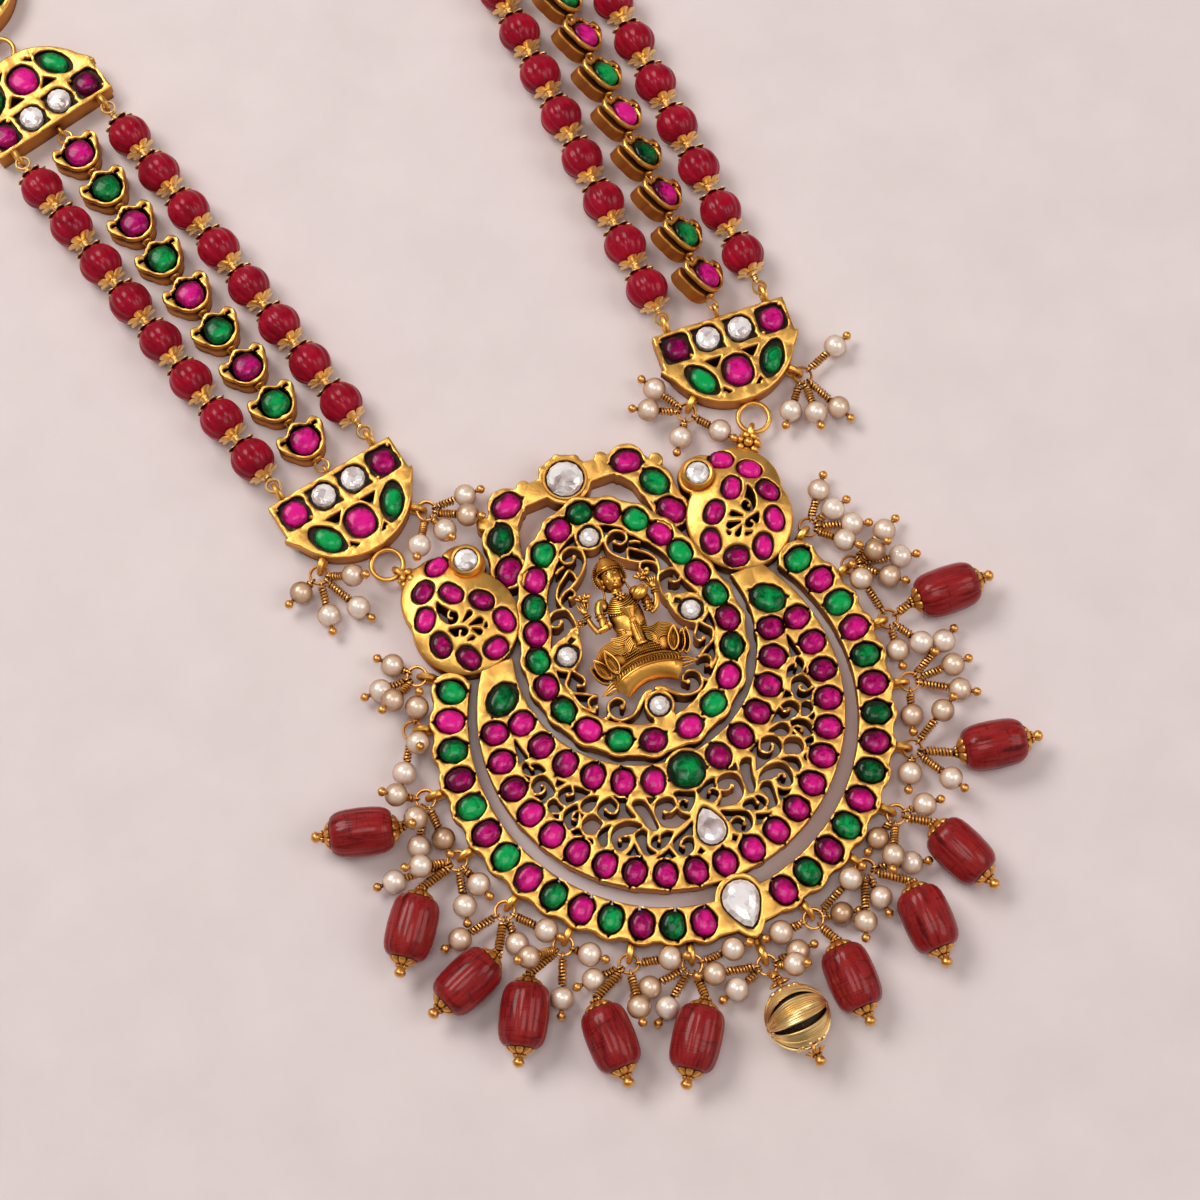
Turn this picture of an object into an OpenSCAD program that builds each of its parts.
/* [Pendant plate] */
// Diameter of the circle that the outer ring's stones sit on
ring_d = 71.6; // [66:0.1:76]
// Width of the outer ring's band
ring_band_w = 6; // [5.4:0.1:6.4]
// Thickness of the pendant's plate
plate_t = 4.6; // [3.8:0.1:6]
// Metal left under each stone of the plate
seat_floor = 2.2; // [1:0.1:2.8]
// Outer diameter of the crescent
crescent_d = 62; // [60:0.1:62.4]
// Diameter of the crescent's inner edge
crescent_inner_d = 41.4; // [40.8:0.1:42]
// Width of the medallion's scalloped band
medallion_band_w = 6; // [5.2:0.1:6.2]
// Width of the arch's band
arch_band_w = 6.4; // [5.6:0.1:6.8]
// Width of the scroll wires in the medallion's window
scroll_w = 0.7; // [0.5:0.05:1]

/* [Paisleys] */
// Height of a paisley at the top of its dome
dome_h = 7; // [6:0.1:8]
// Radius of the dome's curve
dome_r = 26; // [22:1:40]
// Metal left under each stone of a paisley
dome_floor = 3.6; // [2:0.1:4]
// Diameter of the raised collet round a paisley's crystal
collet_d = 6; // [5.6:0.1:6.4]
// Height of the raised collet
collet_h = 7.4; // [6.8:0.1:8]

/* [Stones] */
// Length of an outer ring stone
ring_stone_l = 4.6; // [3.6:0.1:4.8]
// Width of an outer ring stone
ring_stone_w = 3.8; // [3:0.1:4]
// Length of a crescent stone
crescent_stone_l = 4.2; // [3.4:0.1:4.4]
// Width of a crescent stone
crescent_stone_w = 3.6; // [3:0.1:3.8]
// Length of a medallion stone
medallion_stone_l = 4.2; // [3.4:0.1:4.3]
// Width of a medallion stone
medallion_stone_w = 3.6; // [3:0.1:3.8]
// Length of an arch stone
arch_stone_l = 5; // [4:0.1:5.2]
// Width of an arch stone
arch_stone_w = 3.9; // [3:0.1:4.1]
// Length of a paisley stone
paisley_stone_l = 4; // [3.4:0.1:4.2]
// Width of a paisley stone
paisley_stone_w = 3; // [2.6:0.1:3.2]
// Diameter of the green stone in the middle of the crescent
centre_stone_d = 5.8; // [5:0.1:6]
// Diameter of the crown crystal
crown_stone_d = 6.4; // [5.6:0.1:6.6]
// Diameter of the small round crystals
small_crystal_d = 3.4; // [2.8:0.1:3.6]
// Width of the pear crystal at the foot of the ring
pear_w = 6.2; // [5.4:0.1:6.4]
// Width of the pear crystal in the crescent
small_pear_w = 4.8; // [4:0.1:5]
// Height of a stone above the metal round it
stone_rise = 0.6; // [0.3:0.1:1]
// Radius of a cabochon's domed top
cabochon_r = 3.6; // [3.4:0.1:5]
// Gap between a stone and the wall of its seat
seat_gap = 0.2; // [0.15:0.05:0.3]

/* [Figure] */
// Height of the seated figure's highest point above the pendant's back
figure_h = 9.4; // [8.6:0.1:10.4]
// Gap between the figure and the metal that holds it
figure_gap = 0.15; // [0.1:0.05:0.3]

/* [Fringe] */
// Pearl diameter
pearl_d = 4; // [3.4:0.1:4.1]
// Diameter of the hole through a pearl
pearl_bore_d = 0.9; // [0.8:0.05:1.1]
// Diameter of a head pin
pin_d = 0.6; // [0.4:0.05:0.7]
// Diameter of the wrapped coil on a head pin
coil_d = 1.3; // [1:0.1:1.5]
// Diameter of the ball that ends a pearl's head pin
ball_d = 1.6; // [1.2:0.1:1.8]
// Gap between a bead and the coil, cap or ball beside it
bead_gap = 0.12; // [0.1:0.02:0.2]
// Radius of a jump ring, to the middle of its wire
jump_r = 1.6; // [1.4:0.1:1.8]
// Wire diameter of a jump ring
jump_wire_d = 0.8; // [0.6:0.1:0.9]
// Radius of an eyelet, to the middle of its wire
eyelet_r = 1.5; // [1.3:0.1:1.7]
// Wire diameter of an eyelet
eyelet_wire_d = 0.9; // [0.7:0.1:1]
// Length of a barrel drop
barrel_l = 10.4; // [9:0.1:10.6]
// Diameter of a barrel drop
barrel_d = 8.3; // [7:0.1:8.4]
// Number of flutes round a barrel drop
barrel_flutes = 9; // [6:1:12]
// Diameter of a drop's gold cap
cap_d = 4.8; // [4:0.1:5]
// Length of a drop's gold cap
cap_l = 1.5; // [1:0.1:1.6]
// Diameter of the ball that ends a drop's head pin
drop_ball_d = 2; // [1.6:0.1:2.2]
// Diameter of the bell
bell_d = 11; // [10:0.1:11.2]
// Wall of the bell
bell_wall = 1; // [0.8:0.1:1.4]

/* [Strands] */
// Number of beads in a string
bead_count = 8; // [5:1:8]
// Melon bead diameter
bead_d = 7.6; // [6.8:0.1:8]
// Distance from bead to bead
bead_pitch = 9.3; // [9.1:0.1:10]
// Number of flutes round a melon bead
bead_flutes = 10; // [8:1:12]
// Diameter of the hole through a bead
bead_bore_d = 1.3; // [1.1:0.1:1.6]
// Diameter of the thread
thread_d = 0.9; // [0.6:0.1:1]
// Diameter of a bead's flower cap
flower_cap_d = 4.8; // [4:0.1:5.2]
// Number of stone links between two strings
link_count = 9; // [5:1:9]
// Height of a stone link
link_t = 4.6; // [4:0.1:5]
// Diameter of the seat in a stone link
link_seat_d = 5.2; // [4.6:0.1:5.4]
// Angle that the right-hand links are rolled to
right_roll = 40; // [0:1:45]

/* [Spacers] */
// Width of a half-moon spacer's straight strip
strip_w = 24.4; // [23:0.1:25]
// Height of the straight strip
strip_h = 6.8; // [6.4:0.1:7.2]
// Radius of the half-moon's curved edge
moon_r = 12.2; // [11.8:0.1:12.4]
// Thickness of a spacer
moon_t = 4.6; // [3.8:0.1:5]
// Metal left under each seat of a spacer
moon_floor = 2.2; // [1:0.1:2.8]
// Distance from seat to seat along the strip
strip_seat_pitch = 5.9; // [5.7:0.1:6]
// Outer radius of the ring on a spacer's curved edge
moon_ring_r = 3.2; // [3:0.1:3.4]
// Width of that ring's metal
moon_ring_w = 0.9; // [0.7:0.1:1.1]

/* [Back chain] */
// Diameter of the back chain
chain_d = 2.6; // [2:0.1:3]
// Wire diameter of the clasp
clasp_wire_d = 1.4; // [1.1:0.1:1.6]
// Radius of the clasp's two bends, to the middle of the wire
clasp_r = 3; // [2.4:0.1:3.2]

/* [Hidden] */
$fn = 48;

// The charts below are drawn with the stone circle this wide
chart_d = 71.6;
u = ring_d / chart_d;
gold = [0.85, 0.62, 0.26];
ruby = [0.78, 0.08, 0.36];
emerald = [0.05, 0.5, 0.26];
crystal = [0.86, 0.86, 0.88];
coral = [0.62, 0.09, 0.11];
pearl = [0.93, 0.86, 0.76];
ring_r = ring_d / 2;
band_r_in = ring_r - ring_band_w / 2;
crescent_r = crescent_d / 2;
crescent_inner_r = crescent_inner_d / 2;
mid_z = plate_t / 2;

// Crescent: height of the centres of its outer circle, inner circle and inner row, and of its cut top
crescent_y = 1 * u;
crescent_inner_y = 12.8 * u;
crescent_row_y = 12.3 * u;
crescent_top_y = 18.6 * u;

// Ring stones: angle of the first from the foot of the ring, and the angle from one to the next
ring_stone_first = 11.4;
ring_stone_step = 8.19;
ring_stones = 14;
ring_end_angle = ring_stone_first + ring_stone_step * (ring_stones - 1);
// Crescent rows: stones on each side, first angle, step and radius
crescent_outer_step = 10.3;
crescent_outer_side = 10;
crescent_outer_row_r = crescent_r - 2.8 * u;
crescent_inner_step = 12.55;
crescent_inner_first = 14.7;
crescent_inner_side = 6;
crescent_inner_row_r = crescent_inner_r + 2.5 * u;
// Metal round the centre stone and the pear crystal
stone_rim = 1;
// How far joined metal runs into its neighbour
weld = 0.2;

// Medallion stones, right half from the top down. Columns: x, y, turn of the long axis, is it green
MEDALLION = [
    [0, 38.3, 0, 1], [4.5, 36.7, -25, 0], [8.5, 33.7, -50, 1], [11.5, 29.8, -60, 0], [13.4, 25.4, -68, 1],
    [14.8, 20.9, -75, 0], [16.2, 16.3, -80, 1], [16.5, 11.5, 90, 0], [15.3, 6.7, 75, 1],
    [12.7, 2, 48, 0], [8.5, -1.5, 25, 1], [3.3, -3.7, 8, 0]];
// Arch stones, right half from the crown out. Columns as above
ARCH = [[11.1, 44.2, -14, 0], [14.2, 38.9, -62, 1], [15, 33.1, -52, 0]];
crown_y = 45;
// Where the arch ends on the medallion, right side
arch_foot = [13.6, 31.4];
// Paisley stones, right side. Columns: x, y, turn of the long axis
PAISLEY = [
    [26.2, 38.1, -22], [30, 34.5, -38], [25.7, 32.3, 55], [31.4, 29.7, -62], [21.3, 29.3, 45],
    [30.5, 24.6, 85], [18.9, 24.9, 80], [26.9, 20.9, 60], [22, 20.9, -10]];
// Round pieces of a paisley's outline. Columns: x, y, radius
PAISLEY_LOBES = [[25.2, 27.2, 9.2], [26.6, 32.2, 7.9], [22, 36.9, 4]];
paisley_crystal = [21.3, 36.8];
paisley_crystal_d = small_crystal_d + 0.6;
paisley_dome = [25.4, 29];
// Round crystals on the medallion's centre line and beside the figure. Columns: x, y
SMALL_CRYSTALS = [[0, 33.7], [0, 1.6], [11.3, 15.3], [-11.3, 15.3]];
pear_y = -ring_r + 2.1;
small_pear_y = -21.4;
tip_stone = [24.2, 12.3];
tip_stone_a = 35;
tip_stone_l = ring_stone_l + 1.2;
tip_stone_w = ring_stone_w + 0.6;
centre_stone_y = -10.4;

// Pierced field of the crescent, right half. Curls are bands of air round a scroll's end.
// Columns: x, y, radius, width, first angle, last angle
CURLS = [
    [23.3, -4.1, 1.4, 0.9, -15, 265], [19.9, -7, 1.35, 0.9, -120, 115], [20.7, -11, 1.4, 0.9, -130, 130],
    [14.4, -11.8, 1.7, 0.9, -65, 165], [5.5, -15.4, 2, 1, -110, 170], [2.3, -15.5, 1.4, 0.8, 100, 330],
    [14.3, -17.2, 1.9, 1, -110, 150], [8.7, -19.7, 1.3, 0.8, -170, 60], [5.1, -21.9, 1.55, 0.9, -170, 150]];
// Plain cuts in the same field, each a row of corners
CUTS = [
    [[24.7, 5], [25.5, 1.3], [23.8, 1.3]],
    [[21.9, -1.8], [22.8, -0.6], [24.3, 0.7], [25.2, 0.2], [25.1, -0.9], [24.1, -1.7]],
    [[22.1, -5.2], [23.2, -6.3], [24.8, -7], [25.3, -5.6], [24, -5.1]],
    [[19.6, -4.9], [20.7, -3.9], [21.3, -4.6], [20.8, -5.2]],
    [[16.2, -8], [17.9, -6.4], [18.8, -7.2], [19.6, -8.6], [17.8, -8.5]],
    [[22.2, -7], [23.4, -7], [23.9, -8], [23, -9.1], [22, -8.6]],
    [[15.9, -9.2], [17, -8.8], [18.4, -9.2], [18.7, -10.3], [17.6, -10.9], [16.5, -10.4]],
    [[20.4, -13], [21.7, -13.3], [21, -14.3], [19.9, -15]],
    [[16.6, -13.7], [17.2, -12.1], [18.4, -11.8], [19.5, -12.7], [19.5, -13.9], [18.4, -14.6]],
    [[11.1, -11], [12.4, -10.3], [12.5, -11.3]],
    [[11.2, -14.4], [12, -12.3], [13, -12.6], [14.2, -13.4], [13.6, -13.9], [12.4, -13.9]],
    [[8.1, -17.2], [8.3, -14.5], [9, -12.7], [10.2, -12.2], [10.5, -13.2], [9.3, -17.1]],
    [[6.3, -12.8], [8, -12.3], [7.6, -13.4]],
    [[2.3, -18], [4.2, -16.9], [6.4, -16.8], [6.6, -18.1], [5.2, -18.6]],
    [[0.5, -14.1], [1.6, -13.9], [1.4, -15], [1, -15.3]],
    [[10.6, -16.3], [12.3, -15.3], [13.2, -15.6], [12.8, -16.5]],
    [[15.3, -14.5], [17.2, -14.6], [18.2, -16], [18, -17], [17, -17.1], [16.6, -15.8]],
    [[10, -17.6], [11.3, -17.3], [12.2, -18], [12, -19.8], [11.2, -21.5], [10.2, -21.4], [10.7, -19.8]],
    [[12.9, -18.9], [14.7, -20], [12.7, -21.2]],
    [[6.1, -19.4], [7.6, -19.2], [7.6, -20.6], [7, -20.6]],
    [[7.4, -23.4], [7.9, -21.8], [10.3, -22.6]],
    [[3.1, -19.3], [5, -19.7], [6.6, -20.8], [5.2, -21], [3.9, -20.6]],
    [[2.2, -24], [3.9, -24.1], [3, -24.8]]];
// Opening of a lobe of the arch, right half
ARCH_CUT = [
    [3.4, 41.6], [6.4, 42.8], [9, 42], [10.6, 40], [11.2, 36.6], [11, 34.2], [9.7, 36.6], [6.2, 39.8]];
// Gap under the arch's end, beside the paisley
SIDE_CUT = [[15, 29], [17, 28.8], [16, 26.9]];

// Edge of the medallion's window, right half from the top down
WINDOW = [
    [0, 35.6], [3.3, 34.6], [5.7, 33.1], [7.1, 30.3], [8.9, 29], [10.1, 27.2], [11, 25.4], [11.4, 22.6],
    [12, 20.4], [13.2, 17.8], [13.9, 15.6], [14, 11.4], [12.9, 8], [12.3, 5.6], [9.9, 3.1], [7.9, 1.5],
    [5.6, 0.8], [2.8, -0.7], [0, -1.3]];
// Scroll wires in the window, right half. Columns: x, y, radius, first angle, last angle
SCROLLS = [
    [5, 5.3, 3.8, 185, 355], [6.3, 4.2, 1.1, 120, 310], [10.5, 5.9, 0.9, 70, 260],
    [11.4, 10.8, 1.4, 10, 310], [10.3, 21.7, 1.3, 40, 290], [4.1, 31.6, 1.8, -20, 215],
    [3.9, 31.8, 0.8, 150, 380],
    [6.9, 25.2, 0.9, 20, 250], [7.2, 32.5, 5.6, 200, 262], [4.4, 20.6, 4.7, -12, 60],
    [5.9, 24.8, 3.6, -20, 62], [9.6, 32.2, 3.6, 205, 262]];
// Straight wires in the window. Columns: from x, from y, to x, to y
BARS = [
    [8.6, 7, 14.2, 9.7], [9.9, 12.7, 12.2, 12.4], [6.9, 3.4, 8.4, 3.3], [10.4, 5.1, 12.2, 4.2],
    [11.4, 10.7, 12.4, 9.8], [4.5, 31.9, 5.5, 32.9], [8.2, 19.2, 9, 19.6], [8.7, 23.6, 11.4, 22.7],
    [6.2, 27, 9.6, 28.6], [5.8, 31, 7.4, 30.2], [1.9, 31.2, 2.3, 31.7], [8.6, 5.4, 8.2, 2]];
// Balls that the scrolls end in, right half. Columns: x, y, diameter in wire widths
SCROLL_BALLS = [[6.2, 3.5, 1.3], [11.4, 10.7, 1.6], [10.3, 21.3, 1.6]];
// Plate that carries the crystal beside the figure
WING = [[8.5, 19.2], [10.4, 18.6], [13.6, 17.4], [12, 13], [9, 15]];
// Heights of the two blocks that tie the centre crystals to the medallion
TIES = [35.6, -1];
// Pierced flower of a paisley. Tears have a round end and a point. Columns: x, y, radius, point x, point y
TEARS = [
    [23.2, 26.1, 0.6, 24.7, 26], [24.6, 27.6, 0.6, 25.5, 27], [23.7, 24.5, 0.6, 24.6, 25],
    [22.3, 24.9, 0.3, 21.9, 25.4], [25, 24, 0.3, 25.8, 24], [27.8, 30.1, 0.8, 28.6, 31.8]];
// Comma cuts of a paisley. Columns as for the curls
PAISLEY_CURLS = [[26.9, 28.3, 1.05, 0.75, 60, 290], [27.3, 25.6, 1.2, 0.8, 60, 215]];

// Distance from the ring's stones to the centre of an eyelet
hub_out = 4.8;
// Fringe hubs round the ring. Columns: angle from the foot of the ring, extra distance
HUBS = [
    [121.4, 0], [108, 0], [92.4, 0], [76.6, 0], [60.7, 0], [44.8, 0], [30.3, 0], [13.8, 0], [0, 3],
    [-15.6, 0], [-29.8, 0], [-45, 0], [-60.3, 0], [-76, 0], [-92, 0], [-108.4, 0], [-121.4, 0]];
// Pearls of the fringe. Columns: hub, x, y, height in pearl diameters
PEARLS = [
    [0, 40.4, 27.6, 0.55], [0, 41.3, 23.4, 0.6], [0, 43.3, 19.8, 0.55], [0, 40.4, 16.9, 1.15],
    [1, 48, 16.7, 0.55], [1, 44.5, 13.3, 1.2], [1, 48.6, 11.3, 0.55], [1, 45.4, 8.6, 0.7],
    [2, 40.4, 9.6, 1.05], [2, 41.5, -3.9, 0.55], [2, 45.5, -4.4, 0.85],
    [3, 49.4, -5.3, 0.55], [3, 49.2, -9.7, 0.55], [3, 48.5, -14.1, 0.55], [3, 39.1, -15.3, 0.6],
    [4, 44, -16.7, 0.9], [4, 34.8, -24.3, 0.55], [4, 40.4, -28, 1.05],
    [5, 25.2, -32.7, 0.7], [5, 34.8, -30.2, 0.6], [5, 26.1, -36.5, 1.25],
    [6, 21.8, -41.8, 0.55], [6, 28.8, -38.4, 0.6], [6, 17.6, -44.8, 1],
    [7, 18.1, -37.4, 1.05], [7, 14.8, -41.9, 0.55], [7, 4.1, -41.2, 0.8],
    [8, 5.6, -45, 0.6], [8, 3.9, -47.2, 1.45], [8, -6.1, -47, 0.55], [8, -8.7, -43.5, 0.95],
    [9, -4.3, -40.9, 0.95], [9, -17.8, -45.6, 0.55], [9, -19.2, -41.5, 0.55],
    [10, -14.5, -38.6, 1.15], [10, -22.2, -44.1, 1.15], [10, -27.3, -36.9, 0.55],
    [11, -26.4, -33, 0.85], [11, -36, -30.4, 1.95], [11, -33.2, -37.8, 0.55],
    [12, -45.2, -22.7, 0.7], [12, -36.8, -26.8, 0.55], [12, -31.6, -26.9, 1.15],
    [13, -47, -9.3, 1.25], [13, -51.9, -9.6, 0.55], [13, -39.1, -15.3, 0.75], [13, -42.5, -17.7, 0.55],
    [14, -46.5, 3.4, 1.25], [14, -44.9, -2, 1.8], [14, -46, -5.6, 0.55], [14, -41.8, -6.1, 0.8],
    [15, -40, 10.5, 1.15], [15, -43.9, 7, 0.6], [15, -38, 16.5, 0.95],
    [16, -39.2, 25.3, 0.6], [16, -42.6, 21.9, 0.55], [16, -41.4, 18.9, 1.2]];
// Barrel drops. Columns: hub, x, y, direction from the inner cap to the ball
DROPS = [
    [2, 53.2, 2.3, -2], [4, 49.4, -25.4, -10], [5, 36.9, -39.9, -68], [6, 27.2, -48.2, -90],
    [7, 11.8, -52.4, -90], [9, -15.4, -52.2, -125], [10, -28.3, -47, -90], [11, -40, -38.4, -118],
    [12, -46.5, -29.8, -158], [13, -51.9, -18.2, -125], [14, -54, -0.2, 165]];
bell_place = [0.9, -55.2];
bell_hub = 8;
// Rows of six holes through the bell. Columns: angle above its middle, first turn, diameter
BELL_HOLES = [[-45, 0, 1.8], [0, 30, 2.4], [45, 0, 1.8]];

// Where a bail stands on its paisley, right side
bail_root = [30.6, 37.4];
// Spacers next to the pendant. Columns: x, y, turn
SPACER_PLACES = [[-36.8, 58.1, 11], [35.9, 60, -2.9]];
// Lean of the strands, as a turn from straight up
LEANS = [15.5, 2.2];
// Stones of a spacer's curved half. Columns: x, y, length, width, turn
MOON_SEATS = [[0, -7.3, 5.4, 5, 90], [-6.4, -7.1, 5.6, 3.4, -62], [6.4, -7.1, 5.6, 3.4, 62]];
// Width of a seat in the straight strip
strip_seat_d = 4.4;
// Cut between the strip and a spacer's curved half, right side
MOON_CUT = [[1.8, -3.9], [4.8, -3.9], [3.4, -5.6]];
// Pearls beside each spacer. Columns: spacer, side, x, y, height in pearl diameters
SPACER_PEARLS = [
    [0, 1, -16.9, 49.3, 0.6], [0, 1, -18, 44.8, 1.35], [0, 1, -22.6, 43.6, 1.4],
    [0, 1, -27.6, 42.6, 1.4], [0, -1, -49.2, 43.2, 0.6], [0, -1, -46.2, 37.7, 0.55],
    [0, -1, -41, 37.2, 0.55], [0, -1, -40, 41.8, 1.4], [1, 1, 53.6, 51.2, 0.6],
    [1, 1, 41.6, 42.9, 0.6], [1, 1, 45.3, 40.6, 0.9], [1, 1, 49.6, 40.4, 0.6],
    [1, -1, 21, 55.5, 0.6], [1, -1, 18.3, 51.8, 0.9], [1, -1, 21.8, 45.4, 0.6],
    [1, -1, 28.4, 43.6, 0.9]];

// Route of the back chain on the left, beyond the spacer's eyelet and up to the clasp
ROUTE_LEFT = [
    [-74, 195], [-76, 206], [-77, 217], [-76, 229], [-73, 241], [-67, 252], [-59, 262],
    [-49, 272], [-38, 276]];
// Route of the back chain on the right
ROUTE_RIGHT = [
    [31, 201], [32, 212], [31, 224], [29, 236], [25, 247], [18, 257], [9, 267], [-1, 274],
    [-12, 277]];

// Shapes that many pieces share

// Point at a distance and an angle
function polar(r, a) = [r * cos(a), r * sin(a)];
// Point on the pendant at an angle from its foot, counted towards the right
function around(r, a) = polar(r, a - 90);

// A rounded oval made of four arcs
module oval(l, w) intersection() {
    side_r = l * 0.8;
    circle(d = l);
    translate([0, side_r - w / 2]) circle(r = side_r);
    translate([0, w / 2 - side_r]) circle(r = side_r);
}

// Corners of a pear outline with its point up
function pear_points(w, n) = [for (i = [0:n - 1]) let (a = 90 + i * 360 / n, up = max(0, sin(a)))
    polar(w / 2, a) + [0, w * 0.32 * pow(up, 4)]];
module pear(w) polygon(pear_points(w, 24));

// A straight strip between two points
module strip(a, b, w) {
    d = b - a;
    translate(a) rotate(atan2(d.y, d.x)) translate([0, -w / 2]) square([norm(d), w]);
}

// A curved band with round ends
module curl(c, r, w, from, to) {
    steps = ceil((to - from) / 20);
    step = (to - from) / steps;
    round_end = [30:30:150];
    polygon(concat(
        [for (i = [0:steps]) c + polar(r + w / 2, from + i * step)],
        [for (t = round_end) c + polar(r, to) + polar(w / 2, to + t)],
        [for (i = [0:steps]) c + polar(r - w / 2, to - i * step)],
        [for (t = round_end) c + polar(r, from) + polar(w / 2, from + 180 + t)]));
}

// Both halves of a shape that is drawn on the right
module both() {
    children();
    mirror([1, 0]) children();
}

// A ring of round wire lying flat
module wire_ring(r, d) rotate_extrude() translate([r, 0]) circle(d = d, $fn = 24);

// A shape drawn up the Z axis, laid from one point towards another
module aim(a, b) {
    d = b - a;
    translate(a) rotate([0, acos(d.z / norm(d)), atan2(d.y, d.x)]) children();
}

// A cabochon, its flat back at height zero
module cabochon(l, w, h) intersection() {
    linear_extrude(h) oval(l, w);
    translate([0, 0, h - cabochon_r]) sphere(cabochon_r);
}

// A cut crystal: a straight girdle, sloping facets and a table
module cut_crystal(outline, h) {
    crown_h = 0.9;
    table = 0.55;
    n = len(outline);
    layers = [[1, 0], [1, h - crown_h], [table, h]];
    pts = [for (l = layers, p = outline) [p.x * l[0], p.y * l[0], l[1]]];
    polyhedron(pts, concat(
        [[for (i = [0:n - 1]) i]],
        [[for (i = [0:n - 1]) 3 * n - 1 - i]],
        [for (k = [0, 1], i = [0:n - 1]) let (j = (i + 1) % n, low = k * n, high = low + n)
            [low + j, low + i, high + i, high + j]]));
}
function round_points(d) = [for (i = [0:9]) polar(d / 2, i * 36)];

// Places of the stones

module at_ring(first) for (i = [first:2:ring_stones - 1], s = [-1, 1]) {
    a = ring_stone_first + i * ring_stone_step;
    translate(around(ring_r, s * a)) rotate(s * a - 90) children();
}
module at_crescent_rows() {
    for (i = [-crescent_outer_side:crescent_outer_side])
        translate([0, crescent_y] + around(crescent_outer_row_r, i * crescent_outer_step))
            rotate(i * crescent_outer_step - 90) children();
    for (i = [0:crescent_inner_side - 1], s = [-1, 1]) {
        a = s * (crescent_inner_first + i * crescent_inner_step);
        translate([0, crescent_row_y] + around(crescent_inner_row_r, a)) rotate(a - 90) children();
    }
}
module at_table(table, green) for (p = table, s = p.x == 0 ? [1] : [-1, 1])
    if (p[3] == green) translate([s * p.x, p.y] * u) rotate(s * p[2]) children();
module at_paisleys() for (p = PAISLEY, s = [-1, 1])
    translate([s * p.x, p.y] * u) rotate(s * p[2]) children();
module at_tips() for (s = [-1, 1])
    translate([s * tip_stone.x, tip_stone.y] * u) rotate(-s * tip_stone_a) children();

// Plan of the pendant

module ring_plan() {
    open_a = ring_end_angle;
    far = 2 * ring_d;
    // The stones' round lobes stand this far out of the band's edge
    lobe_out = 0.65;
    lobe_d = ring_band_w + 0.9;
    difference() {
        union() {
            difference() {
                circle(r = ring_r + lobe_d / 2 - lobe_out);
                polygon([[0, 0], around(far, open_a), [0, far], around(far, -open_a)]);
            }
            for (i = [0:ring_stones - 1], s = [-1, 1])
                translate(around(ring_r, s * (ring_stone_first + i * ring_stone_step)))
                    circle(d = lobe_d);
        }
        circle(r = band_r_in);
    }
    translate([0, pear_y]) rotate(180) pear(pear_w + 2 * stone_rim);
    // Web that joins the ring's foot to the crescent
    strip([0, -ring_r], [0, crescent_y - crescent_r + weld], ring_band_w);
}

module crescent_plan() {
    difference() {
        translate([0, crescent_y]) circle(r = crescent_r);
        translate([0, crescent_inner_y]) circle(r = crescent_inner_r);
        translate([-ring_d, crescent_top_y]) square([2 * ring_d, ring_d]);
    }
    translate([0, centre_stone_y * u]) circle(d = centre_stone_d + 2 * stone_rim);
}

// The field between the crescent's two rows of stones
module crescent_field() {
    lip = crescent_stone_w / 2 + seat_gap + 2 * weld;
    difference() {
        translate([0, crescent_y]) circle(r = crescent_outer_row_r - lip);
        translate([0, crescent_row_y]) circle(r = crescent_inner_row_r + lip);
    }
}

module medallion_plan() {
    last = len(MEDALLION) - 1;
    bar_w = medallion_band_w * 0.9 * u;
    at = [for (p = MEDALLION) [p.x, p.y] * u];
    both() {
        for (p = at) translate(p) circle(d = medallion_band_w * u);
        for (i = [0:last - 1]) strip(at[i], at[i + 1], bar_w);
    }
    strip([-at[last].x, at[last].y], at[last], bar_w);
}

module window_plan() both() polygon([for (p = WINDOW) p * u]);

// Wires and settings that cross the window
module scroll_plan() {
    wire_w = scroll_w * u;
    tie = 3 * u;
    both() {
        for (s = SCROLLS) curl([s[0], s[1]] * u, s[2] * u, wire_w, s[3], s[4]);
        for (b = BARS) strip([b[0], b[1]] * u, [b[2], b[3]] * u, wire_w);
        for (b = SCROLL_BALLS) translate([b.x, b.y] * u) circle(d = wire_w * b[2]);
        polygon([for (p = WING) p * u]);
    }
    for (p = SMALL_CRYSTALS) translate(p * u) circle(d = small_crystal_d + 1.9 * u);
    for (y = TIES) translate([0, y] * u) square(tie, center = true);
}

module arch_plan() {
    crown = [0, crown_y] * u;
    crown_rim = 1.4;
    // Prongs round the crown crystal
    prong_d = 2;
    prong_r = crown_stone_d / 2 + 0.6;
    band_w = arch_band_w * u;
    at = [for (p = ARCH) [p.x, p.y] * u];
    translate(crown) circle(d = crown_stone_d + 2 * crown_rim);
    both() {
        for (a = [0, 45, 90]) translate(crown + polar(prong_r, a)) circle(d = prong_d);
        for (p = at) translate(p) circle(d = band_w * 1.06);
        strip(crown, at[0] + [0, 0.4] * u, band_w * 0.6);
        for (i = [0, 1]) strip(at[i], at[i + 1], band_w * 0.9);
        translate(arch_foot * u) circle(d = band_w * 0.6);
    }
}

module pierced_plan() both() {
    intersection() {
        crescent_field();
        union() {
            for (c = CURLS) curl([c[0], c[1]] * u, c[2] * u, c[3] * u, c[4], c[5]);
            for (c = CUTS) polygon([for (p = c) p * u]);
        }
    }
    polygon([for (p = ARCH_CUT) p * u]);
    polygon([for (p = SIDE_CUT) p * u]);
}

module paisley_cuts() {
    for (t = TEARS) {
        c = [t[0], t[1]] * u;
        tip = [t[3], t[4]] * u;
        a = atan2(tip.y - c.y, tip.x - c.x);
        polygon(concat([tip], [for (b = [60:30:300]) c + polar(t[2] * u, a + b)]));
    }
    for (c = PAISLEY_CURLS) curl([c[0], c[1]] * u, c[2] * u, c[3] * u, c[4], c[5]);
}

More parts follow.
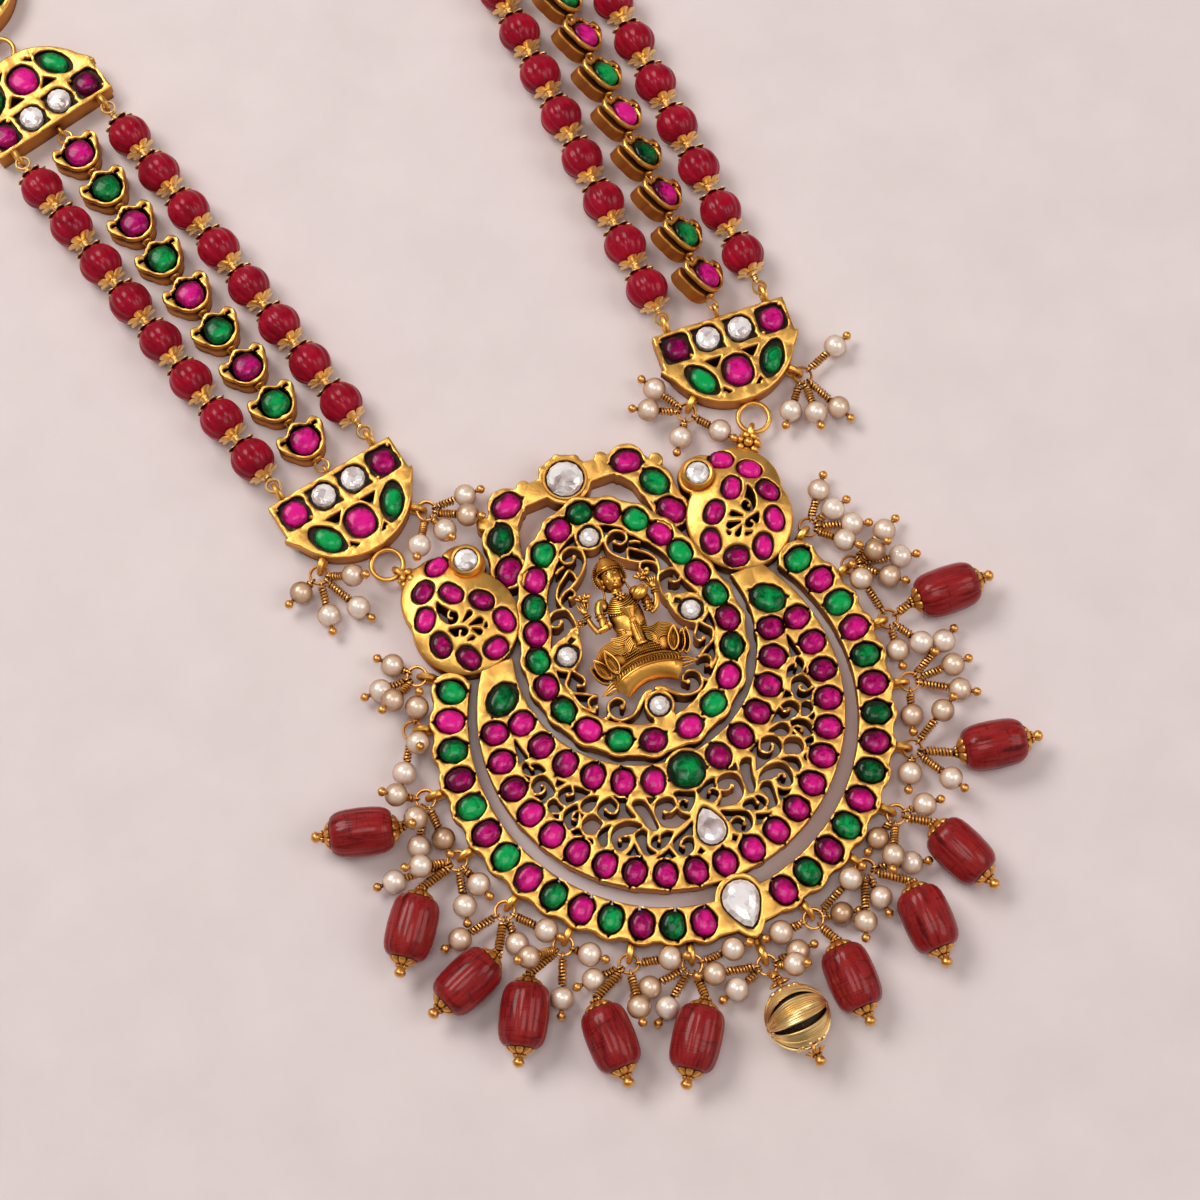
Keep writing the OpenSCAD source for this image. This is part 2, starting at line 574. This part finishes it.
// Seats of all the stones in the flat plate
module plate_seats(g) {
    at_ring(0) oval(ring_stone_l + g, ring_stone_w + g);
    at_ring(1) oval(ring_stone_l + g, ring_stone_w + g);
    at_crescent_rows() oval(crescent_stone_l + g, crescent_stone_w + g);
    at_tips() oval(tip_stone_l + g, tip_stone_w + g);
    translate([0, centre_stone_y * u]) circle(d = centre_stone_d + g);
    for (green = [0, 1]) {
        at_table(MEDALLION, green) oval(medallion_stone_l + g, medallion_stone_w + g);
        at_table(ARCH, green) oval(arch_stone_l + g, arch_stone_w + g);
    }
    translate([0, crown_y * u]) circle(d = crown_stone_d + g);
    for (p = SMALL_CRYSTALS) translate(p * u) circle(d = small_crystal_d + g);
    translate([0, pear_y]) rotate(180) pear(pear_w + g);
    translate([0, small_pear_y * u]) pear(small_pear_w + g);
}

module plate_plan() {
    foot_y = MEDALLION[len(MEDALLION) - 1].y;
    difference() {
        union() {
            ring_plan();
            crescent_plan();
            difference() {
                medallion_plan();
                window_plan();
            }
            arch_plan();
        }
        pierced_plan();
    }
    intersection() {
        both() polygon([for (p = concat(MEDALLION, [[0, foot_y]])) [p.x, p.y] * u]);
        scroll_plan();
    }
}

// Loops of the fringe and the bails

function hub_r(h) = ring_r + hub_out + HUBS[h][1];
function hub(h) = let (p = around(hub_r(h) + jump_r, HUBS[h][0])) [p.x, p.y, mid_z];

module eyelet(r, reach) {
    rotate([90, 0, 0]) wire_ring(r, eyelet_wire_d);
    translate([-reach, 0, 0]) rotate([0, 90, 0]) cylinder(h = reach - r, d = eyelet_wire_d * 1.3);
}

module fringe_eyelets() for (h = [0:len(HUBS) - 1]) {
    a = HUBS[h][0];
    p = around(hub_r(h), a);
    translate([p.x, p.y, mid_z]) rotate(a - 90) eyelet(eyelet_r, eyelet_r + 0.8 + HUBS[h][1] * 0.6);
}

// Centre of the ring that hangs a spacer above a paisley
function moon_ring_at(s) =
    let (p = SPACER_PLACES[s], t = p[2], d = moon_drop + moon_r + moon_ring_r - moon_weld)
    [p.x, p.y] + [d * sin(t), -d * cos(t)];

module bail(s) {
    side = s == 0 ? -1 : 1;
    bail_bar_d = 2.4;
    bail_foot_d = 4;
    bail_top_d = 2.6;
    c = moon_ring_at(s);
    root = [side * bail_root.x, bail_root.y] * u;
    way = (root - c) / norm(root - c);
    eye = c + way * (moon_ring_r - moon_ring_w / 2);
    turn = atan2(way.y, way.x);
    reach = norm(root - eye);
    translate([eye.x, eye.y, mid_z]) rotate(turn) {
        rotate([90, 0, 0]) wire_ring(eyelet_r, eyelet_wire_d);
        translate([eyelet_r - weld, 0, 0]) rotate([0, 90, 0]) cylinder(h = reach, d = bail_bar_d);
        translate([eyelet_r + 1, 0, 0]) cylinder(h = mid_z + 0.4, d1 = bail_foot_d, d2 = bail_top_d);
    }
}

module paisley(s) mirror([s < 0 ? 1 : 0, 0, 0]) difference() {
    union() {
        intersection() {
            linear_extrude(dome_h) for (l = PAISLEY_LOBES) translate([l.x, l.y] * u) circle(r = l[2] * u);
            translate([paisley_dome.x * u, paisley_dome.y * u, dome_h - dome_r]) sphere(dome_r, $fn = 96);
        }
        translate(paisley_crystal * u) cylinder(h = collet_h, d = collet_d);
    }
    translate([0, 0, dome_floor]) linear_extrude(dome_h) {
        for (p = PAISLEY) translate([p.x, p.y] * u) rotate(p[2])
            oval(paisley_stone_l + 2 * seat_gap, paisley_stone_w + 2 * seat_gap);
        translate(paisley_crystal * u) circle(d = paisley_crystal_d + 2 * seat_gap);
    }
    translate([0, 0, -1]) linear_extrude(dome_h + 2) paisley_cuts();
}

module pendant_frame() color(gold) {
    difference() {
        linear_extrude(plate_t) plate_plan();
        translate([0, 0, seat_floor]) linear_extrude(plate_t) plate_seats(2 * seat_gap);
    }
    paisley(1);
    paisley(-1);
    fringe_eyelets();
    bail(0);
    bail(1);
}

// Stones

rest_gap = 0.06;
plate_stone_h = plate_t + stone_rise - seat_floor - rest_gap;
module on_plate() translate([0, 0, seat_floor + rest_gap]) children();

module rubies() color(ruby) {
    on_plate() {
        at_ring(0) cabochon(ring_stone_l, ring_stone_w, plate_stone_h);
        at_crescent_rows() cabochon(crescent_stone_l, crescent_stone_w, plate_stone_h);
        at_table(MEDALLION, 0) cabochon(medallion_stone_l, medallion_stone_w, plate_stone_h);
        at_table(ARCH, 0) cabochon(arch_stone_l, arch_stone_w, plate_stone_h);
    }
    translate([0, 0, dome_floor + rest_gap])
        at_paisleys() cabochon(paisley_stone_l, paisley_stone_w, dome_h - dome_floor - 0.2);
}

module emeralds() color(emerald) on_plate() {
    at_ring(1) cabochon(ring_stone_l, ring_stone_w, plate_stone_h);
    at_table(MEDALLION, 1) cabochon(medallion_stone_l, medallion_stone_w, plate_stone_h);
    at_table(ARCH, 1) cabochon(arch_stone_l, arch_stone_w, plate_stone_h);
    at_tips() cabochon(tip_stone_l, tip_stone_w, plate_stone_h);
    translate([0, centre_stone_y * u]) intersection() {
        cylinder(h = plate_stone_h, d = centre_stone_d);
        translate([0, 0, plate_stone_h - cabochon_r - 1]) sphere(cabochon_r + 1);
    }
}

module crystals() color(crystal) {
    on_plate() {
        translate([0, crown_y * u]) cut_crystal(round_points(crown_stone_d), plate_stone_h + 0.6);
        for (p = SMALL_CRYSTALS) translate(p * u) cut_crystal(round_points(small_crystal_d), plate_stone_h);
        translate([0, pear_y]) rotate(180) cut_crystal(pear_points(pear_w, 12), plate_stone_h);
        translate([0, small_pear_y * u]) cut_crystal(pear_points(small_pear_w, 12), plate_stone_h);
    }
    for (s = [-1, 1]) translate([s * paisley_crystal.x * u, paisley_crystal.y * u, dome_floor + rest_gap])
        cut_crystal(round_points(paisley_crystal_d), collet_h - dome_floor);
}

// Figure

// A limb that swells from one end to the other. Its parts are drawn from few-sided balls
module limb(a, ra, b, rb) hull() {
    translate(a) sphere(ra, $fn = 10);
    translate(b) sphere(rb, $fn = 10);
}

module figure() color(gold) {
    front = figure_h - 1.4;
    back = plate_t + figure_gap;
    mid = (front + back) / 2;
    difference() {
        translate([0.2, 0, 0] * u) union() {
            // Lotus seat with its rim and petals
            for (y = [6.6, 8.4]) hull() for (x = [-1, -0.6, 0, 0.6, 1])
                translate([x * (y - 2.2) * u, y * u, back + (1 - x * x) * (front - back)])
                    sphere(y == 8.4 ? 1 : 0.8, $fn = 10);
            limb([0, 6.6 * u, mid], 1.8, [0, 10 * u, mid], 2.4);
            for (x = [-8:2:8]) limb([x * 0.45 * u, 9.4 * u, mid], 1.3,
                [x * 1.05 * u, (14.4 - x * x * 0.03) * u, back + 0.5], 0.5);
            for (s = [-1, 1]) {
                limb([s * 4 * u, 7.6 * u, back + 0.4], 0.8, [s * 8.4 * u, 5.4 * u, back + 0.2], 0.35);
                // Crossed legs
                limb([s * u, 12.4 * u, mid], 1.7, [s * 4.8 * u, 12 * u, mid + 0.2], 1.4);
                limb([s * 4.8 * u, 12 * u, mid + 0.2], 1.3, [-s * 1.6 * u, 10.8 * u, front - 0.6], 0.9);
                // Front arms
                limb([s * 2.7 * u, 19.9 * u, mid - 0.2], 1.1, [s * 4.6 * u, 17 * u, mid], 0.8);
                limb([s * 4.6 * u, 17 * u, mid], 0.8, [s * 2.7 * u, 16.2 * u, front - 0.2], 0.6);
                // Raised arms with their flowers
                limb([s * 2.9 * u, 20 * u, back + 0.6], 0.9, [s * 5.2 * u, 18.6 * u, back + 0.7], 0.7);
                limb([s * 5.2 * u, 18.6 * u, back + 0.7], 0.7, [s * 5.6 * u, 22 * u, back + 0.7], 0.55);
                limb([s * 5.6 * u, 22 * u, back + 0.7], 0.6, [s * 5.6 * u, 23.4 * u, back + 0.7], 1.3);
            }
            // Body, sash, neck and head
            limb([0, 12.8 * u, mid], 2.2, [0, 19.4 * u, mid], 2.4);
            limb([-2.6 * u, 19.8 * u, mid], 1.2, [2.6 * u, 19.8 * u, mid], 1.2);
            limb([0, 18.4 * u, front - 0.2], 0.9, [0, 11 * u, front - 0.1], 0.7);
            limb([0, 20.4 * u, mid], 1.2, [0, 23.8 * u, mid + 0.4], 2);
            // Tall crown and the halo behind it
            limb([0, 25.4 * u, mid + 0.3], 2, [0, 28.4 * u, mid - 0.4], 0.5);
            translate([0, 24 * u, back - 0.5]) cylinder(h = 1.4, r = 3.2 * u, $fn = 24);
        }
        translate([-ring_d, -ring_d, back - ring_d]) cube([2 * ring_d, 2 * ring_d, ring_d]);
    }
}

// Fringe

// A pearl's centre from its row: x, y and height in pearl diameters
function pearl_place(row, hub_at) = let (k = pearl_d / 4, h = [hub_at.x, hub_at.y], p = [row.x, row.y] * u)
    concat(h + (p - h) * k, [row[2] * pearl_d]);

// A pearl on the way from one point to another, drilled along that way
module pearl_on(from, at) aim(at, 2 * at - from) difference() {
    sphere(d = pearl_d);
    cylinder(h = pearl_d + 1, d = pearl_bore_d, center = true);
}

// The point of a jump ring nearest to a piece that hangs from it
function hook_point(hub_at, p) = let (d = [p.x - hub_at.x, p.y - hub_at.y])
    hub_at + concat(d / norm(d) * jump_r, [0]);

// A head pin: its wrapped coil, the wire through the pearl, and the ball at its end
module head_pin(from, at) aim(from, at) rotate_extrude($fn = 24) {
    l = norm(at - from);
    half = pearl_d / 2 + bead_gap;
    square([pin_d / 2, l + half + ball_d / 2]);
    square([coil_d / 2, max(pin_d, l - half)]);
    translate([0, l + half + ball_d / 2]) intersection() {
        circle(d = ball_d);
        translate([0, -ball_d]) square(2 * ball_d);
    }
}

module fringe_pearls() color(pearl) for (p = PEARLS) {
    at = pearl_place([p[1], p[2], p[3]], hub(p[0]));
    pearl_on(hook_point(hub(p[0]), at), at);
}

// Corner of a drop's pin where its neck begins
function drop_start(d) = let (a = d[3], back = barrel_l / 2 + bead_gap + cap_l)
    [d[1] * u - back * cos(a), d[2] * u - back * sin(a), barrel_d / 2];

// The wire, caps and ball of a drop, laid along the X axis from the inner cap
module drop_pin(l, cap, ball) {
    rotate([0, 90, 0]) {
        cylinder(h = l + 2 * cap_l + 2 * bead_gap + ball * 0.8, d = pin_d);
        cylinder(h = cap_l, d1 = coil_d * 1.2, d2 = cap);
        translate([0, 0, cap_l + l + 2 * bead_gap]) cylinder(h = cap_l, d1 = cap, d2 = coil_d * 1.2);
    }
    translate([l + 2 * cap_l + 2 * bead_gap + ball * 0.4, 0, 0]) sphere(d = ball);
}

module neck(hub_at, to) {
    from = hook_point(hub_at, to);
    aim(from, to) cylinder(h = norm(to - from), d = coil_d, $fn = 24);
    translate(to) sphere(d = coil_d, $fn = 24);
}

bell_dir = let (h = hub(bell_hub)) atan2(bell_place.y * u - h.y, bell_place.x * u - h.x);
bell_start = concat(bell_place * u - polar(bell_d / 2 + bead_gap + cap_l, bell_dir), [bell_d / 2]);

module fringe_wires() color(gold) {
    for (h = [0:len(HUBS) - 1]) translate(hub(h)) wire_ring(jump_r, jump_wire_d);
    for (p = PEARLS) {
        at = pearl_place([p[1], p[2], p[3]], hub(p[0]));
        head_pin(hook_point(hub(p[0]), at), at);
    }
    for (d = DROPS) {
        neck(hub(d[0]), drop_start(d));
        translate(drop_start(d)) rotate(d[3]) drop_pin(barrel_l, cap_d, drop_ball_d);
    }
    neck(hub(bell_hub), bell_start);
    translate(bell_start) rotate(bell_dir) drop_pin(bell_d, cap_d * 0.8, drop_ball_d);
}

// A fluted barrel with a hole along its axis
module barrel_drop(n) {
    d = DROPS[n - 1];
    lobe = barrel_d * 0.3;
    r = barrel_d / 2;
    h = barrel_l / 2;
    color(coral) translate([d[1] * u, d[2] * u, r]) rotate([0, 90, d[3]]) difference() {
        intersection() {
            rotate_extrude() polygon([
                [0, -h], [r * 0.68, -h], [r * 0.84, -h * 0.88], [r * 0.96, -h * 0.5], [r, 0],
                [r * 0.96, h * 0.5], [r * 0.84, h * 0.88], [r * 0.68, h], [0, h]]);
            translate([0, 0, -h]) linear_extrude(2 * h) {
                circle(r = r - lobe / 2);
                for (i = [0:barrel_flutes - 1]) rotate(i * 360 / barrel_flutes)
                    translate([r + 0.1 - lobe / 2, 0]) circle(d = lobe);
            }
        }
        cylinder(h = 3 * h, d = pearl_bore_d, center = true);
    }
}

// A hollow pierced ball, open along its axis
module bell() color(gold) translate(concat(bell_place * u, [bell_d / 2])) rotate([0, 90, bell_dir])
    difference() {
        sphere(d = bell_d);
        sphere(d = bell_d - 2 * bell_wall);
        cylinder(h = 2 * bell_d, d = pearl_bore_d, center = true);
        for (row = BELL_HOLES, i = [0:5]) rotate(i * 60 + row[1]) rotate([0, 90 - row[0], 0])
            translate([0, 0, bell_d * 0.3]) cylinder(h = bell_d, d = row[2]);
    }

// Spacers and strands

strand_end = 8.35;
section_l = bead_count * bead_pitch + 2 * strand_end;
// The curved half's centre lies this far below the strip's, and its loops run this far into it
moon_drop = 0.8;
moon_weld = 0.3;
spacer_link = 2 * (moon_r + moon_drop) + 2 * moon_ring_r - moon_ring_w + eyelet_r + 0.1;
side_eye_x = 9.2;
side_eye_y = strip_h / 2 + eyelet_r + 0.3;
mid_eye_r = 0.95;
mid_eye_wire_d = 0.6;
mid_eye_y = strip_h / 2 + 1.1;
link_half_w = 4.7;
link_base = 3.5;
link_cusp = 3.8;
function lean_dir(s) = polar(1, 90 + LEANS[s]);
// Places of the three spacers of a side: centre, turn, is its curved edge carried by a ring
function spacer(s, i) = let (p = SPACER_PLACES[s], c = [p.x, p.y], up = lean_dir(s))
    i == 1 ? [c, p[2], 1] : i == 2 ? [c + up * section_l, LEANS[s] + 180, 1]
    : [c + up * (section_l + spacer_link), LEANS[s], 0];
function on_spacer(s, i, p) = let (m = spacer(s, i), t = m[1])
    m[0] + [p.x * cos(t) - p.y * sin(t), p.x * sin(t) + p.y * cos(t)];
// Height of a link chain's axis above the surface, level on the left and rolled on the right
function roll(s) = s == 0 ? 0 : right_roll;
function chain_z(s) = link_half_w * sin(roll(s)) + link_t / 2 * cos(roll(s));

module moon_plan() {
    square([strip_w, strip_h], center = true);
    difference() {
        translate([0, -moon_drop]) circle(r = moon_r);
        translate([-strip_w, weld - strip_h / 2]) square([2 * strip_w, strip_w]);
    }
}

module moon_seats() {
    g = 2 * seat_gap;
    for (i = [-1.5:1.5]) translate([i * strip_seat_pitch, 0]) circle(d = strip_seat_d + g);
    for (m = MOON_SEATS) translate([m.x, m.y]) rotate(m[4]) oval(m[2] + g, m[3] + g);
}

module moon_cuts() both() polygon(MOON_CUT);

// Angle of the eyelets on a spacer's curved edge that carry pearls
pearl_eye_a = 46;
function pearl_eye(r, side) = [0, -moon_drop] + around(r, side * pearl_eye_a);
pearl_eye_r = moon_r + eyelet_r - moon_weld;

module half_moon(s, i) {
    m = spacer(s, i);
    color(gold) translate(m[0]) rotate(m[1]) {
        linear_extrude(moon_floor) difference() {
            moon_plan();
            moon_cuts();
        }
        translate([0, 0, moon_floor]) linear_extrude(moon_t - moon_floor) difference() {
            moon_plan();
            moon_cuts();
            moon_seats();
        }
        if (i < 3) for (side = [-1, 1]) translate([side * side_eye_x, side_eye_y, bead_d / 2])
            rotate(90) eyelet(eyelet_r, eyelet_r + 0.5);
        translate([0, mid_eye_y, i < 3 ? chain_z(s) : moon_t / 2]) rotate([90, 0, 90])
            wire_ring(mid_eye_r, mid_eye_wire_d);
        if (m[2] == 1)
            translate([0, moon_weld - moon_drop - moon_r - moon_ring_r, (moon_t - moon_ring_w) / 2])
            linear_extrude(moon_ring_w) difference() {
                circle(r = moon_ring_r);
                circle(r = moon_ring_r - moon_ring_w);
            }
        else translate([0, weld / 2 - moon_drop - moon_r - eyelet_r, moon_t / 2])
            rotate(90) rotate([90, 0, 0]) wire_ring(eyelet_r, eyelet_wire_d);
        if (i == 1) for (side = [-1, 1]) {
            p = pearl_eye(pearl_eye_r, side);
            translate([p.x, p.y, moon_t / 2]) rotate(side * pearl_eye_a - 90)
                eyelet(eyelet_r, eyelet_r + moon_weld);
        }
    }
}

function spacer_hub(s, side) =
    concat(on_spacer(s, 1, pearl_eye(pearl_eye_r + jump_r, side)), [moon_t / 2]);
function spacer_pearl(p) = pearl_place([p[2], p[3], p[4]], spacer_hub(p[0], p[1]));

module spacer_pearls() color(pearl) for (p = SPACER_PEARLS)
    pearl_on(hook_point(spacer_hub(p[0], p[1]), spacer_pearl(p)), spacer_pearl(p));

module spacer_wires() color(gold) {
    for (s = [0, 1], side = [-1, 1]) translate(spacer_hub(s, side)) wire_ring(jump_r, jump_wire_d);
    for (p = SPACER_PEARLS) head_pin(hook_point(spacer_hub(p[0], p[1]), spacer_pearl(p)), spacer_pearl(p));
}

// Ends of a string. The outer string hangs on the eyelets away from the middle of the necklace
function string_x(s, outer) = side_eye_x * (s == 0 ? -1 : 1) * (outer ? 1 : -1);
function string_from(s, outer) = on_spacer(s, 1, [string_x(s, outer), side_eye_y]);
function string_to(s, outer) = on_spacer(s, 2, [-string_x(s, outer), side_eye_y]);
thread_loop_r = 1.2;
thread_loop_wire_d = 0.7;

// Draws along a string: its start is the origin, and the string runs up the X axis
module along_string(s, outer) {
    a = string_from(s, outer);
    d = string_to(s, outer) - a;
    translate([a.x, a.y, bead_d / 2]) rotate(atan2(d.y, d.x)) children();
}
module at_beads(s, outer) {
    l = norm(string_to(s, outer) - string_from(s, outer));
    for (i = [0:bead_count - 1]) translate([l / 2 + (i - (bead_count - 1) / 2) * bead_pitch, 0, 0])
        rotate([0, 90, 0]) children();
}

module melon_bead() {
    lobe = bead_d * 0.34;
    difference() {
        intersection() {
            sphere(d = bead_d);
            translate([0, 0, -bead_d / 2]) linear_extrude(bead_d) {
                circle(d = bead_d * 0.8);
                for (i = [0:bead_flutes - 1]) rotate((i + 0.5) * 360 / bead_flutes)
                    translate([bead_d / 2 + 0.1 - lobe / 2, 0]) circle(d = lobe);
            }
        }
        cylinder(h = 2 * bead_d, d = bead_bore_d, center = true);
    }
}

module beads(s, outer) color(coral) along_string(s, outer) at_beads(s, outer) melon_bead();

// A cap whose inside follows the bead
module flower_cap() {
    rim = bead_d * 0.38;
    tip = bead_pitch / 2;
    rotate_extrude() difference() {
        polygon([[0, rim], [flower_cap_d / 2, rim], [thread_d, tip - 0.1], [0, tip]]);
        circle(d = bead_d + 2 * bead_gap, $fn = 96);
    }
}

module thread(s, outer) {
    l = norm(string_to(s, outer) - string_from(s, outer));
    color(gold) along_string(s, outer) {
        translate([2 * thread_loop_r - weld, 0, 0]) rotate([0, 90, 0])
            cylinder(h = l - 4 * thread_loop_r + 2 * weld, d = thread_d);
        for (x = [thread_loop_r, l - thread_loop_r]) translate([x, 0, 0])
            wire_ring(thread_loop_r, thread_loop_wire_d);
        at_beads(s, outer) for (t = [0, 180]) rotate([t, 0, 0]) flower_cap();
    }
}

module link_plan() {
    circle(r = link_base);
    both() polygon([
        [0, -1], [0, link_cusp], [0.9, 3.1], [2.1, 2.7], [3.2, 2.9], [link_half_w, 1.5], [3.9, -0.4],
        [3, -2]]);
}

joint_r = 0.55;
joint_wire_d = 0.4;
end_joint_r = 1.25;
// Distance of a link's upper loop beyond its tip
joint_y = 0.45;

// One stone link, drawn with its round foot down and its middle at the origin
module stone_link(s, i) {
    a = on_spacer(s, 1, [0, mid_eye_y]);
    b = on_spacer(s, 2, [0, mid_eye_y]);
    l = norm(b - a);
    foot = 2 * end_joint_r + 0.15;
    pitch = (l - 2 * foot - link_base - link_cusp) / (link_count - 1);
    gap = pitch - link_base - link_cusp;
    last = i == link_count;
    // The loop at the bud's foot, and how far its stem runs into the bud's wall
    low_r = i == 1 ? end_joint_r : joint_r;
    low_y = i == 1 ? end_joint_r - foot - link_base : joint_y + joint_r - gap - link_base;
    stem_in = (link_base - link_seat_d / 2) / 2;
    color(gold) translate([a.x, a.y, chain_z(s)]) rotate(atan2(b.y - a.y, b.x - a.x) - 90)
        translate([0, foot + link_base + (i - 1) * pitch, 0]) rotate([0, roll(s), 0]) {
            difference() {
                translate([0, 0, -link_t / 2]) linear_extrude(link_t) link_plan();
                cylinder(h = link_t, d = link_seat_d);
            }
            translate([0, low_y, 0]) wire_ring(low_r, joint_wire_d);
            // Stem between the lower loop and the bud's wall
            translate([0, low_y + low_r, 0]) rotate([-90, 0, 0])
                cylinder(h = stem_in - link_base - low_y - low_r, d = joint_wire_d * 1.5);
            translate([0, link_cusp + (last ? foot - end_joint_r : joint_y), 0])
                rotate(last ? [0, 0, 0] : [90, 0, 90]) wire_ring(last ? end_joint_r : joint_r, joint_wire_d);
        }
}

// Back chain

// A smooth way through the route's points
function spline(p, t) = let (n = len(p), i = min(floor(t), n - 2), f = t - i,
        a = p[max(i - 1, 0)], b = p[i], c = p[i + 1], d = p[min(i + 2, n - 1)])
    (2 * b + (c - a) * f + (2 * a - 5 * b + 4 * c - d) * f * f + (3 * b - a - 3 * c + d) * f * f * f) / 2;

// Gap between a back chain's tube and what it is joined to
chain_gap = 0.35;
function route(s) = concat([on_spacer(s, 3, [0, mid_eye_y + mid_eye_r + mid_eye_wire_d / 2 + chain_gap])],
    s == 0 ? ROUTE_LEFT : ROUTE_RIGHT);

module chain_tube(route) {
    sides = 8;
    per_span = 2;
    rings = (len(route) - 1) * per_span;
    r = chain_d / 2;
    way = [for (i = [0:rings]) spline(route, i / per_span)];
    pts = [for (i = [0:rings])
        let (d = way[min(i + 1, rings)] - way[max(i - 1, 0)], n = [-d.y, d.x] / norm(d))
        for (k = [0:sides - 1]) let (a = k * 360 / sides, p = way[i] + n * r * cos(a))
            [p.x, p.y, r + r * sin(a)]];
    color(gold) polyhedron(pts, concat(
        [[for (k = [0:sides - 1]) k]],
        [[for (k = [0:sides - 1]) (rings + 1) * sides - 1 - k]],
        [for (i = [0:rings - 1], k = [0:sides - 1]) let (j = (k + 1) % sides)
            [i * sides + j, i * sides + k, (i + 1) * sides + k, (i + 1) * sides + j]]));
}

// One plain S with a hook at each end
module clasp() {
    a = ROUTE_LEFT[len(ROUTE_LEFT) - 1];
    b = ROUTE_RIGHT[len(ROUTE_RIGHT) - 1];
    d = b - a;
    half = norm(d) / 2 - chain_gap - chain_d / 8 - clasp_wire_d / 2 - clasp_r;
    color(gold) linear_extrude(clasp_wire_d) translate((a + b) / 2) rotate(atan2(d.y, d.x)) {
        for (t = [0, 180]) rotate(t) difference() {
            translate([half, 0]) circle(r = clasp_r + clasp_wire_d / 2);
            translate([half, 0]) circle(r = clasp_r - clasp_wire_d / 2);
            translate([half - 2 * clasp_r, -2 * clasp_r]) square([2 * clasp_r, 4 * clasp_r]);
        }
        strip([-half, -clasp_r], [half, clasp_r], clasp_wire_d);
    }
}

// Pieces

pendant_frame();
figure();
rubies();
emeralds();
crystals();
bell();
for (i = [1:11]) barrel_drop(i);
fringe_pearls();
fringe_wires();
spacer_pearls();
spacer_wires();
for (s = [0, 1], i = [1:3])
    half_moon(s, i);
for (s = [0, 1], k = [0, 1]) {
    name = str(["left", "right"][s], "_", ["outer", "inner"][k]);
    beads(s, k == 0);
    thread(s, k == 0);
}
for (s = [0, 1], i = [1:9])
    stone_link(s, i);
chain_tube(route(0));  // back_chain_left
chain_tube(route(1));  // back_chain_right
clasp();
